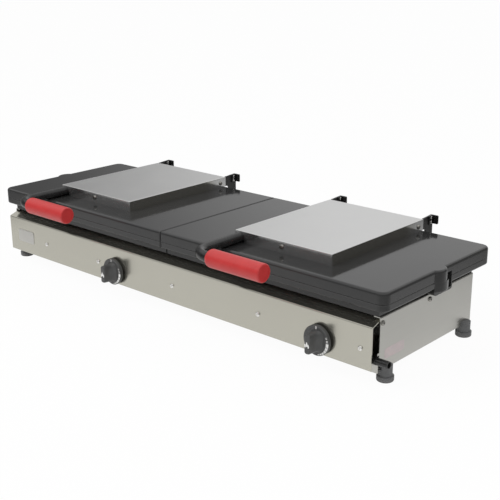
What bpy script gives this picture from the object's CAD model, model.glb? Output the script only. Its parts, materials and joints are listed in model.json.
import json
import math

import bpy
import numpy as np
from mathutils import Euler, Matrix, Vector


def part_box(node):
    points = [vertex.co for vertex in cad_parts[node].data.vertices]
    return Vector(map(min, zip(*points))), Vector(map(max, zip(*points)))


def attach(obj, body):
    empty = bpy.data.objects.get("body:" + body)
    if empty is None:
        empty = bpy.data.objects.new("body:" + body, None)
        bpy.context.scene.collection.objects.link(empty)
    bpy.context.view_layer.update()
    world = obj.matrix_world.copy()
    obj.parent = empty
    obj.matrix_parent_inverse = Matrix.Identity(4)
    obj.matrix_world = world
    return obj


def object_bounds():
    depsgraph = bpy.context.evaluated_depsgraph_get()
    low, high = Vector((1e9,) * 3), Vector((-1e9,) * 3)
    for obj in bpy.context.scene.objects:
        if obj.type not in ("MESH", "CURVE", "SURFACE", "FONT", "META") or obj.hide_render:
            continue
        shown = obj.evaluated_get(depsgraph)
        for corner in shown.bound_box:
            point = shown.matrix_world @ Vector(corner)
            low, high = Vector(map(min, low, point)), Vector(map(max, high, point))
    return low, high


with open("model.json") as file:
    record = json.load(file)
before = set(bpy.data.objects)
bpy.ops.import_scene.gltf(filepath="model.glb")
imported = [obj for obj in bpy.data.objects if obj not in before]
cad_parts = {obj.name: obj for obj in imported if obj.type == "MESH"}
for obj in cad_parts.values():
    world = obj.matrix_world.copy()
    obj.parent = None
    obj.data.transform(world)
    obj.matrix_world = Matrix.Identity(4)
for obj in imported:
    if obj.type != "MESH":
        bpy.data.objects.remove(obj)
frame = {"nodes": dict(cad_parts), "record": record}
cad_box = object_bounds()

# Places that the scene takes from the frame, in metres
PANEL_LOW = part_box("front_panel")[0]
FRONT = PANEL_LOW.y
COVER_LOW, COVER_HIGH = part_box("cover_box_left")
WALL_FACE_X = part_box("side_panel_right")[1].x
HALF_LENGTH = cad_box[1].x
HALF_DEPTH = cad_box[1].y


class Wire:
    """A shader socket that Python's operators work on: each one adds a Math node."""

    def __init__(self, nodes, socket):
        self.nodes = nodes
        self.socket = socket

    def math(self, operation, *values):
        """A Math node of that operation on this socket and the given values."""
        inputs = dict(enumerate((self, *values)))
        return self.nodes.node("ShaderNodeMath", inputs, operation=operation)

    def __add__(self, other):
        return self.math("ADD", other)

    def __mul__(self, other):
        return self.math("MULTIPLY", other)

    def __sub__(self, other):
        return self.math("SUBTRACT", other)

    def __rsub__(self, other):
        return (self * -1.0) + other

    __radd__ = __add__
    __rmul__ = __mul__

    def clamp(self):
        """The value held between 0 and 1."""
        return self.math("MAXIMUM", 0.0).math("MINIMUM", 1.0)


class Nodes:
    """A node tree with one method that adds a node."""

    def __init__(self, tree):
        self.tree = tree

    def connect(self, socket, value):
        """Puts a number, a tuple or a wire into an input socket."""
        if isinstance(value, Wire):
            self.tree.links.new(value.socket, socket)
        else:
            socket.default_value = value

    def node(self, kind, inputs, out=0, **settings):
        """Adds a node: its settings first, then the values or links of its inputs."""
        item = self.tree.nodes.new(kind)
        for key, value in settings.items():
            setattr(item, key, value)
        for key, value in inputs.items():
            self.connect(item.inputs[key], value)
        return Wire(self, item.outputs[out])

    def vector_math(self, operation, *values, out=0):
        """A Vector Math node of that operation on the given values."""
        return self.node("ShaderNodeVectorMath", dict(enumerate(values)), out=out, operation=operation)

    def along(self, vector, axis):
        """A vector's X, Y or Z, by the axis's letter."""
        return self.node("ShaderNodeSeparateXYZ", {0: vector}, out=axis)

    def spread(self, value, low, high, **settings):
        """Stretches a value so that low becomes 0 and high becomes 1, held between them."""
        inputs = {"Value": value, "From Min": low, "From Max": high}
        return self.node("ShaderNodeMapRange", inputs, **settings)


class Finish(Nodes):
    """One material: its node tree, the object coordinates and the final shader."""

    def __init__(self, name, **fixed):
        self.material = bpy.data.materials.new(name)
        self.material.use_nodes = True
        super().__init__(self.material.node_tree)
        self.shader = self.tree.nodes["Principled BSDF"]
        for socket, value in fixed.items():
            self.set(socket, value)
        self.place = self.node("ShaderNodeTexCoord", {}, out="Object")

    def set(self, socket, value):
        """Sets or feeds one input of the final shader."""
        self.connect(self.shader.inputs[socket], value)

    def noise(self, scale, detail):
        """Noise between about 0.2 and 0.8. The scale is per metre, one number or one for each axis."""
        scale = scale if isinstance(scale, tuple) else (scale, scale, scale)
        where = self.node("ShaderNodeMapping", {"Vector": self.place, "Scale": scale})
        inputs = {"Vector": where, "Scale": 1.0, "Detail": detail, "Roughness": 0.55}
        return self.node("ShaderNodeTexNoise", inputs)

    def mix(self, amount, first, second):
        """A colour that goes from first to second as amount goes from 0 to 1. Each is a tuple or a wire."""
        first, second = (c if isinstance(c, Wire) else (*c, 1.0) for c in (first, second))
        return self.node("ShaderNodeMix", {0: amount, 6: first, 7: second}, out=2, data_type="RGBA")

    def bump(self, height, strength, distance):
        """Feeds a height, in metres times distance, to the shader's normal."""
        inputs = {"Height": height, "Strength": strength, "Distance": distance}
        self.set("Normal", self.node("ShaderNodeBump", inputs))

    def worn_edge(self, radius):
        """1 on sharp edges and 0 on flats, from the cosine of the angle between the face's normal and a
        bevelled one: 0.999 and above is flat, 0.90 and below is an edge."""
        soft = self.node("ShaderNodeBevel", {"Radius": radius}, samples=4)
        flat = self.node("ShaderNodeNewGeometry", {}, out="Normal")
        return self.spread(self.vector_math("DOT_PRODUCT", soft, flat, out="Value"), 0.999, 0.90)


# Finishes

# Below 1 because fine scratches scatter a little of the light
SHEET_METALLIC = 0.94
# Lighter and darker tone of each sheet
FRONT_STEEL = ((0.580, 0.565, 0.492), (0.552, 0.537, 0.468))
CASE_STEEL = ((0.590, 0.583, 0.545), (0.560, 0.553, 0.517))
COVER_STEEL = ((0.75, 0.75, 0.745), (0.72, 0.72, 0.715))
NAME_METAL = ((0.66, 0.65, 0.61), (0.58, 0.57, 0.54))
# Heat and grease have dulled the cover boxes' side skirts. Along Y the stain starts right behind the front
# skirt and fades out towards the hinges.
SKIRT_STAIN = (0.44, 0.425, 0.375)
STAIN_FRONT = (COVER_LOW.y + 0.00065, COVER_LOW.y + 0.00165)
STAIN_REAR = (COVER_HIGH.y - 0.02175, COVER_HIGH.y - 0.05675)
# A step in a sheet's finish: its height, what the roughness gains above it and the stain below it.
# The front panel's flange keeps the mill's gloss, and the cover boxes' tops are scuffed by trays.
FLANGE_STEP = (PANEL_LOW.z + 0.0716, -0.09, None)
COVER_STEP = (COVER_HIGH.z - 0.0004, 0.18, SKIRT_STAIN)
# A step blends in over this much height, in metres.
STEP_WIDTH = 0.0006
# Noise scales for brushed lines. They run along the axes with a small number and lie close together
# along the others.
LINES_ALONG_X = (3.0, 1400.0, 1400.0)
LINES_LEVEL = (3.0, 3.0, 1400.0)
LINES_SHORTER = (4.0, 1400.0, 1400.0)
# The feet are dusty from the table up to this height, in metres.
DUST_HEIGHT = 0.008


def brushed_sheet(name, lines, tones, roughness, depth, step=None):
    """Stainless sheet: fine lines, cloudy tone and faint handling marks, with a step in its finish where
    one is given."""
    finish = Finish(name, Metallic=SHEET_METALLIC)
    fine = finish.noise(lines, 4.0)
    cloud = finish.noise(9.0, 3.0)
    lighter, darker = tones
    base = finish.mix(finish.spread(fine * 0.6 + cloud * 0.4, 0.32, 0.68), darker, lighter)
    smear = finish.spread(finish.noise(22.0, 5.0), 0.5, 0.75)
    sheen = roughness + (fine - 0.5) * depth + smear * 0.03
    if step:
        height, gain, stain = step
        above = finish.spread(finish.along(finish.place, "Z"), height - STEP_WIDTH, height)
        sheen = sheen + above * gain
        if stain:
            back = finish.along(finish.place, "Y")
            side = finish.spread(back, *STAIN_FRONT) * finish.spread(back, *STAIN_REAR)
            base = finish.mix((1.0 - above) * side * (0.8 + cloud * 0.2), base, stain)
    finish.set("Base Color", base)
    finish.set("Roughness", sheen)
    finish.bump(fine, depth, 0.0001)
    return finish.material


def coated_plate():
    """Dark semi-gloss coating on the cast plates: fine grain, oil smears, dulled edges."""
    finish = Finish("plate_coating", Metallic=0.0, IOR=1.5)
    grain = finish.noise(900.0, 3.0)
    cloud = finish.noise((7.0, 5.0, 7.0), 4.0)
    oil = finish.spread(finish.noise((16.0, 11.0, 16.0), 5.0), 0.48, 0.72)
    base = finish.mix(finish.spread(cloud, 0.3, 0.7), (0.028, 0.028, 0.029), (0.034, 0.034, 0.033))
    edge = finish.worn_edge(0.0012)
    finish.set("Base Color", finish.mix(edge * 0.35, base, (0.11, 0.108, 0.105)))
    finish.set("Roughness", 0.09 + oil * 0.04 + (grain - 0.5) * 0.04)
    finish.bump(grain, 0.02, 0.0002)
    return finish.material


def satin_paint(name, colour, roughness):
    """Sprayed paint on steel: orange-peel bump, patchy sheen, lighter rubbed edges."""
    finish = Finish(name, Metallic=0.0, IOR=1.5)
    peel = finish.noise(700.0, 2.0)
    patch = finish.noise(30.0, 4.0)
    lighter = tuple(v * 1.5 + 0.012 for v in colour)
    rubbed = tuple(v * 2.2 + 0.05 for v in colour)
    tone = finish.mix(finish.spread(patch, 0.35, 0.7), colour, lighter)
    finish.set("Base Color", finish.mix(finish.worn_edge(0.0007) * 0.45, tone, rubbed))
    finish.set("Roughness", roughness + (patch - 0.5) * 0.16)
    finish.bump(peel, 0.08, 0.0003)
    return finish.material


def plated_metal(name, colour, roughness):
    """Turned or pressed bright metal: ring marks, small specks of tarnish."""
    finish = Finish(name, Metallic=1.0)
    marks = finish.noise(1800.0, 2.0)
    tarnish = finish.spread(finish.noise(240.0, 5.0), 0.55, 0.75)
    dull = tuple(v * 0.55 for v in colour)
    finish.set("Base Color", finish.mix(tarnish * 0.6, colour, dull))
    finish.set("Roughness", roughness + tarnish * 0.18 + (marks - 0.5) * 0.08)
    finish.bump(marks, 0.06, 0.0002)
    return finish.material


def grip_plastic():
    """Smooth red hand grip: slight mottling, fine scratches along it, rubbed ends."""
    finish = Finish("grip_plastic", Metallic=0.0, IOR=1.5)
    mottle = finish.noise(60.0, 4.0)
    scratch = finish.spread(finish.noise((25.0, 900.0, 900.0), 3.0), 0.60, 0.74)
    base = finish.mix(finish.spread(mottle, 0.3, 0.7), (0.53, 0.036, 0.037), (0.58, 0.044, 0.044))
    finish.set("Base Color", finish.mix(finish.worn_edge(0.0012) * 0.35, base, (0.62, 0.14, 0.14)))
    finish.set("Roughness", 0.36 + scratch * 0.12 + (mottle - 0.5) * 0.10)
    finish.bump(scratch, 0.06, 0.0002)
    return finish.material


def knob_plastic():
    """Black moulded knob: faint sheen changes and lighter rubbed edges."""
    finish = Finish("knob_plastic", Metallic=0.0, IOR=1.5)
    grain = finish.noise(1500.0, 2.0)
    patch = finish.noise(90.0, 4.0)
    base = finish.mix(finish.spread(patch, 0.3, 0.7), (0.066, 0.067, 0.066), (0.086, 0.087, 0.086))
    finish.set("Base Color", finish.mix(finish.worn_edge(0.0008) * 0.5, base, (0.13, 0.13, 0.125)))
    finish.set("Roughness", 0.33 + (patch - 0.5) * 0.14)
    finish.bump(grain, 0.07, 0.0002)
    return finish.material


def foot_rubber():
    """Grey moulded rubber: fine pitted grain, dusty near the table."""
    finish = Finish("foot_rubber", Metallic=0.0)
    pits = finish.noise(1300.0, 3.0)
    patch = finish.noise(80.0, 4.0)
    dust = finish.spread(finish.along(finish.place, "Z"), DUST_HEIGHT, 0.0)
    base = finish.mix(finish.spread(patch, 0.3, 0.7), (0.125, 0.127, 0.129), (0.165, 0.167, 0.170))
    finish.set("Base Color", finish.mix(dust * 0.35, base, (0.26, 0.25, 0.24)))
    finish.set("Roughness", 0.62 + (pits - 0.5) * 0.2)
    finish.bump(pits, 0.18, 0.0004)
    return finish.material


def burnt_steel():
    """Heat-stained steel of the burners: brown patches and soot."""
    finish = Finish("burnt_steel", Metallic=1.0)
    patch = finish.spread(finish.noise((18.0, 10.0, 18.0), 4.0), 0.35, 0.68)
    soot = finish.spread(finish.noise(120.0, 5.0), 0.55, 0.72)
    heat = finish.mix(patch, (0.36, 0.33, 0.30), (0.30, 0.22, 0.16))
    finish.set("Base Color", finish.mix(soot * 0.7, heat, (0.06, 0.058, 0.055)))
    finish.set("Roughness", 0.42 + soot * 0.25)
    finish.bump(soot, 0.12, 0.0004)
    return finish.material


def printed_white():
    """White marking ink on the knobs, slightly worn through."""
    finish = Finish("marking_ink", Metallic=0.0)
    wear = finish.spread(finish.noise(900.0, 4.0), 0.62, 0.76)
    finish.set("Base Color", finish.mix(wear * 0.5, (0.92, 0.92, 0.90), (0.30, 0.30, 0.30)))
    finish.set("Roughness", 0.5 + wear * 0.2)
    return finish.material


def sticker_vinyl():
    """Pale pink sticker: mottled, slightly glossy, faded at patches."""
    finish = Finish("sticker_vinyl", Metallic=0.0, IOR=1.45)
    fade = finish.spread(finish.noise((60.0, 60.0, 90.0), 4.0), 0.35, 0.7)
    finish.set("Base Color", finish.mix(fade, (0.66, 0.56, 0.56), (0.60, 0.54, 0.54)))
    finish.set("Roughness", 0.35 + fade * 0.08)
    return finish.material


# Each material slot's finish
FINISHES = {
    "panel_steel": brushed_sheet("case_stainless", LINES_LEVEL, CASE_STEEL, 0.30, 0.04),
    "cover_steel": brushed_sheet("cover_stainless", LINES_ALONG_X, COVER_STEEL, 0.14, 0.03, COVER_STEP),
    "name_metal": brushed_sheet("bare_plate_metal", LINES_SHORTER, NAME_METAL, 0.34, 0.12),
    "plate_cast": coated_plate(),
    "black_steel": satin_paint("black_paint", (0.008, 0.008, 0.008), 0.26),
    "rail_steel": satin_paint("rail_paint", (0.085, 0.083, 0.078), 0.40),
    "bezel_grey": satin_paint("bezel_enamel", (0.13, 0.13, 0.125), 0.32),
    "fastener": plated_metal("bright_plating", (0.95, 0.94, 0.91), 0.12),
    "gas_brass": plated_metal("machined_brass", (0.66, 0.47, 0.20), 0.26),
    "grip_red": grip_plastic(),
    "knob_black": knob_plastic(),
    "foot_rubber": foot_rubber(),
    "burner_steel": burnt_steel(),
}
dull_plating = plated_metal("dull_plating", (0.42, 0.41, 0.38), 0.30)
# Nodes that look different from the rest of their slot
NODE_FINISHES = {
    "front_panel": brushed_sheet("front_stainless", LINES_ALONG_X, FRONT_STEEL, 0.22, 0.03, FLANGE_STEP),
    "side_screws": dull_plating,
    "cover_screws_left": dull_plating,
    "cover_screws_right": dull_plating,
}
marking_ink = printed_white()
sticker = sticker_vinyl()


def dress_frame():
    """Gives every carried-over node its own finish or that of its material slot."""
    for part in frame["record"]["subparts"]:
        node = frame["nodes"][part["node"]]
        node.data.materials.clear()
        finish = NODE_FINISHES.get(part["node"], FINISHES[part["material_slot"]])
        node.data.materials.append(finish)


# Pieces


def add_piece(name, points, finish, body):
    """Makes a mesh object from a grid of points, one quad to a cell, and lets it ride on a body."""
    rows, columns = points.shape[:2]
    start = (np.arange(rows - 1)[:, None] * columns + np.arange(columns - 1)[None, :]).ravel()
    faces = np.stack([start, start + columns, start + columns + 1, start + 1], axis=1)
    mesh = bpy.data.meshes.new(name)
    mesh.from_pydata(points.reshape(-1, 3).tolist(), [], faces.tolist())
    mesh.materials.append(finish)
    mesh.validate()
    piece = bpy.data.objects.new(name, mesh)
    bpy.context.scene.collection.objects.link(piece)
    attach(piece, body)


# How far a knob's bar stands out of its skirt, and the ink's thickness, in metres
BAR_LENGTH = 0.0225
INK = 0.00008
# Sectors of the printed arc: two clock angles in degrees, inner and outer radius, taper
ARC_SECTORS = (
    (62.5, 64.5, 0.0210, 0.0236, 1.0),
    (67.0, 69.5, 0.0210, 0.0236, 1.0),
    (76.0, 78.5, 0.0205, 0.0240, 1.0),
    (81.0, 83.5, 0.0205, 0.0240, 1.0),
    (88.5, 104.5, 0.0200, 0.0250, 0.95),
    (106.5, 120.0, 0.0203, 0.0248, 0.92),
    (122.0, 134.0, 0.0206, 0.0246, 0.88),
    (136.0, 147.0, 0.0210, 0.0244, 0.84),
    (149.0, 158.5, 0.0214, 0.0241, 0.75),
    (160.5, 170.0, 0.0218, 0.0239, 0.50),
)
# The line at the top of the skirt, with the same values
INDEX_SECTOR = (-2.2, 2.2, 0.0195, 0.0243, 1.0)
# Tongues of the flame: sideways shift, foot, height and half width
TONGUES = (
    (-0.0029, -0.0044, 0.0062, 0.0013),
    (0.0002, -0.0030, 0.0082, 0.0018),
    (0.0033, -0.0048, 0.0066, 0.0014),
)
# A tongue's foot lies this share of a half turn into its sine lobe, and its tip leans this far.
TONGUE_FOOT = 0.22
TONGUE_LEAN = 0.0006
# Points along and across a patch of the arc, and up and across a tongue
PATCH_GRID = (13, 4)
TONGUE_GRID = (15, 7)


def ring_mark(tip, start, end, inner, outer, taper):
    """A patch on the knob's skirt between two clock angles. At each angle it reaches half its width to
    both sides of the middle radius, and its width shrinks steadily to taper times as much at its end."""
    x, y, z = tip
    angle = np.radians(np.linspace(start, end, PATCH_GRID[0]))[:, None]
    width = (outer - inner) * np.linspace(1.0, taper, PATCH_GRID[0])[:, None]
    radius = (inner + outer) / 2 + width * np.linspace(-0.5, 0.5, PATCH_GRID[1])[None, :]
    face = np.full(radius.shape, y + BAR_LENGTH - INK)
    return np.stack([x + radius * np.sin(angle), face, z + radius * np.cos(angle)], axis=-1)


def tongue_mark(tip, shift, foot, height, half):
    """One tongue of the plain flame on the bar's tip. Over its height the half width follows a sine lobe
    to a point, and it leans by the height's square."""
    x, y, z = tip
    rise = np.linspace(0.0, 1.0, TONGUE_GRID[0])[:, None]
    across = np.linspace(1.0, -1.0, TONGUE_GRID[1])[None, :]
    width = half * np.sin(math.pi * (TONGUE_FOOT + (1.0 - TONGUE_FOOT) * rise)) ** 0.9
    side = x + shift - TONGUE_LEAN * rise**2 + across * width
    up = np.broadcast_to(z + foot + height * rise, side.shape)
    return np.stack([side, np.full(side.shape, y - INK), up], axis=-1)


def mark_knobs():
    """The printed marks of both knobs: tapering arc, index line and flame. They are placed from the tip,
    the middle of the knob's front."""
    for side in ("left", "right"):
        body = "knob_" + side
        low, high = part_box(body)
        tip = ((low.x + high.x) / 2, low.y, (low.z + high.z) / 2)
        marks = {f"knob_arc_{side}_{i}": ring_mark(tip, *sector) for i, sector in enumerate(ARC_SECTORS)}
        marks[f"knob_index_{side}"] = ring_mark(tip, *INDEX_SECTOR)
        marks |= {f"knob_flame_{side}_{i}": tongue_mark(tip, *tongue) for i, tongue in enumerate(TONGUES)}
        for name, points in marks.items():
            add_piece(name, points, marking_ink, body)


# The sticker's ends behind the front panel's face, its heights and its thickness, in metres
STICKER_Y = (0.0315, 0.0855)
STICKER_Z = (0.0360, 0.0535)
STICKER_THICK = 0.0001
# Power of its outline, and points from its middle outwards and round it
STICKER_POWER = 8
STICKER_GRID = (6, 65)


def rounded(share):
    """The sign of a sine or cosine times its size to the power 2 / STICKER_POWER."""
    return np.sign(share) * np.abs(share) ** (2 / STICKER_POWER)


def plain_sticker():
    """The sticker on the right side wall: rings that grow from its middle to a superellipse, whose high
    power gives it small round corners."""
    share = np.linspace(0.0, 1.0, STICKER_GRID[0])[:, None]
    turn = np.linspace(0.0, 2.0 * math.pi, STICKER_GRID[1])[None, :]
    y = FRONT + sum(STICKER_Y) / 2 + share * rounded(np.cos(turn)) * (STICKER_Y[1] - STICKER_Y[0]) / 2
    z = sum(STICKER_Z) / 2 + share * rounded(np.sin(turn)) * (STICKER_Z[1] - STICKER_Z[0]) / 2
    points = np.stack([np.full(y.shape, WALL_FACE_X + STICKER_THICK), y, z], axis=-1)
    add_piece("plain_sticker", points, sticker, "base")


# Surroundings

# Half the floor's side, in metres
FLOOR_HALF = 12.0
# The floor's glow in reflections. It fades away from the press, over these distances from its outline, and
# to its right, between these two places along X. Each loss is how much of the level is gone there.
GLOW_LEVEL = 0.80
GLOW_FAR = (0.18, 0.50)
GLOW_FAR_LOSS = 0.45
GLOW_RIGHT = (HALF_LENGTH - 0.05, HALF_LENGTH + 0.05)
GLOW_RIGHT_LOSS = 0.14
# To the camera this share of the floor is plain white, and the rest is its lit surface with the shadow.
PLAIN_WHITE_SHARE = 0.955


def build_floor():
    """A wide pale floor: white to the camera and with a soft shadow, pale in reflections near the press
    and dimmer away from it and to its right, as the photograph's reflections show."""
    mesh = bpy.data.meshes.new("studio_floor")
    corners = [(-1, -1), (1, -1), (1, 1), (-1, 1)]
    mesh.from_pydata([(FLOOR_HALF * x, FLOOR_HALF * y, 0.0) for x, y in corners], [], [(0, 1, 2, 3)])
    floor = bpy.data.objects.new("studio_floor", mesh)
    bpy.context.scene.collection.objects.link(floor)
    finish = Finish("floor_white", Roughness=0.9)
    finish.set("Base Color", (0.86, 0.86, 0.85, 1.0))
    seen = finish.node("ShaderNodeLightPath", {}, out="Is Camera Ray")
    shine = finish.node("ShaderNodeLightPath", {}, out="Is Glossy Ray")
    outside = finish.vector_math("ABSOLUTE", finish.place)
    outside = finish.vector_math("SUBTRACT", outside, (HALF_LENGTH, HALF_DEPTH, 0.0))
    outside = finish.vector_math("MAXIMUM", outside, (0.0, 0.0, 0.0))
    far = finish.spread(finish.vector_math("LENGTH", outside, out="Value"), *GLOW_FAR)
    right = finish.spread(finish.along(finish.place, "X"), *GLOW_RIGHT)
    level = GLOW_LEVEL - far * GLOW_FAR_LOSS - right * GLOW_RIGHT_LOSS
    glow = finish.node("ShaderNodeEmission", {"Strength": seen + shine * level})
    share = (seen * PLAIN_WHITE_SHARE + shine).clamp()
    surface = Wire(finish, finish.shader.outputs[0])
    mixed = finish.node("ShaderNodeMixShader", {0: share, 1: surface, 2: glow})
    finish.connect(finish.tree.nodes["Material Output"].inputs["Surface"], mixed)
    mesh.materials.append(finish.material)


# The backdrop fades out between two angles from +X at each side, in radians.
BACKDROP_LEFT = (2.56, 2.20)
BACKDROP_RIGHT = (1.10, 1.60)
# The overhead light comes in between these two sines of the height above the horizon.
OVERHEAD = (0.36, 0.62)
# How bright each of them is in reflections, where 1 is white
BACKDROP_LEVEL = 0.74
HORIZON_LEVEL = 0.16
OVERHEAD_LEVEL = 0.90


def build_world():
    """A studio: white to the camera, bright overhead and in a backdrop behind the press to the viewer's
    left, and dim near the horizon elsewhere, as the photograph's reflections show."""
    world = bpy.data.worlds.new("studio")
    bpy.context.scene.world = world
    world.use_nodes = True
    nodes = Nodes(world.node_tree)
    way = nodes.node("ShaderNodeTexCoord", {}, out="Generated")
    turn = nodes.along(way, "Y").math("ARCTAN2", nodes.along(way, "X"))
    smooth = {"interpolation_type": "SMOOTHSTEP"}
    backdrop = nodes.spread(turn, *BACKDROP_LEFT, **smooth) * nodes.spread(turn, *BACKDROP_RIGHT, **smooth)
    overhead = nodes.spread(nodes.along(way, "Z"), *OVERHEAD, **smooth)
    level = HORIZON_LEVEL + backdrop * (BACKDROP_LEVEL - HORIZON_LEVEL) * (1.0 - overhead)
    level = level + overhead * (OVERHEAD_LEVEL - HORIZON_LEVEL)
    seen = nodes.node("ShaderNodeLightPath", {}, out="Is Camera Ray")
    background = world.node_tree.nodes["Background"]
    nodes.connect(background.inputs["Color"], level + (1.0 - level) * seen)
    nodes.connect(background.inputs["Strength"], 1.0)


# Side of each square lamp, in metres
LAMP_SIZE = 1.6
# Each lamp's place and target, in metres, and its power in watts
LAMPS = {
    "key_lamp": ((-1.2, -1.9, 2.2), (0.0, 0.0, 0.1), 34.0),
    "fill_lamp": ((2.4, -0.6, 1.5), (0.2, 0.0, 0.1), 9.0),
}


def add_lamps():
    """Square area lamps that point at their targets and don't show in reflections."""
    for name, (place, target, power) in LAMPS.items():
        data = bpy.data.lights.new(name, "AREA")
        data.size = LAMP_SIZE
        data.energy = power
        lamp = bpy.data.objects.new(name, data)
        bpy.context.scene.collection.objects.link(lamp)
        lamp.location = place
        lamp.rotation_euler = (Vector(target) - Vector(place)).to_track_quat("-Z", "Y").to_euler()
        lamp.visible_glossy = False


# The photograph's camera, fitted to the press's corners: angles in degrees, lengths in metres. The target's
# Y is counted from the front panel's face.
CAMERA_TURN = 42.336
CAMERA_RISE = 17.997
CAMERA_ROLL = -0.338
CAMERA_TARGET = (0.200, 0.02192, 0.15693)
CAMERA_DISTANCE = 1.56665
# Focal length and sensor width, in millimetres
CAMERA_LENS = 67.98
CAMERA_SENSOR = 36.0


def build_camera():
    """The camera stands back from its target along its own axis, to the viewer's right and above."""
    data = bpy.data.cameras.new("photo_camera")
    data.sensor_width = CAMERA_SENSOR
    data.lens = CAMERA_LENS
    camera = bpy.data.objects.new("photo_camera", data)
    bpy.context.scene.collection.objects.link(camera)
    aim = Euler((math.radians(90.0 - CAMERA_RISE), 0.0, math.radians(CAMERA_TURN))).to_matrix().to_4x4()
    target = Matrix.Translation(Vector(CAMERA_TARGET) + Vector((0.0, FRONT, 0.0)))
    back = Matrix.Translation((0.0, 0.0, CAMERA_DISTANCE))
    camera.matrix_world = target @ aim @ Matrix.Rotation(math.radians(CAMERA_ROLL), 4, "Z") @ back
    bpy.context.scene.camera = camera


dress_frame()
mark_knobs()
plain_sticker()
build_floor()
build_world()
add_lamps()
build_camera()
bpy.context.scene.view_settings.view_transform = "Standard"
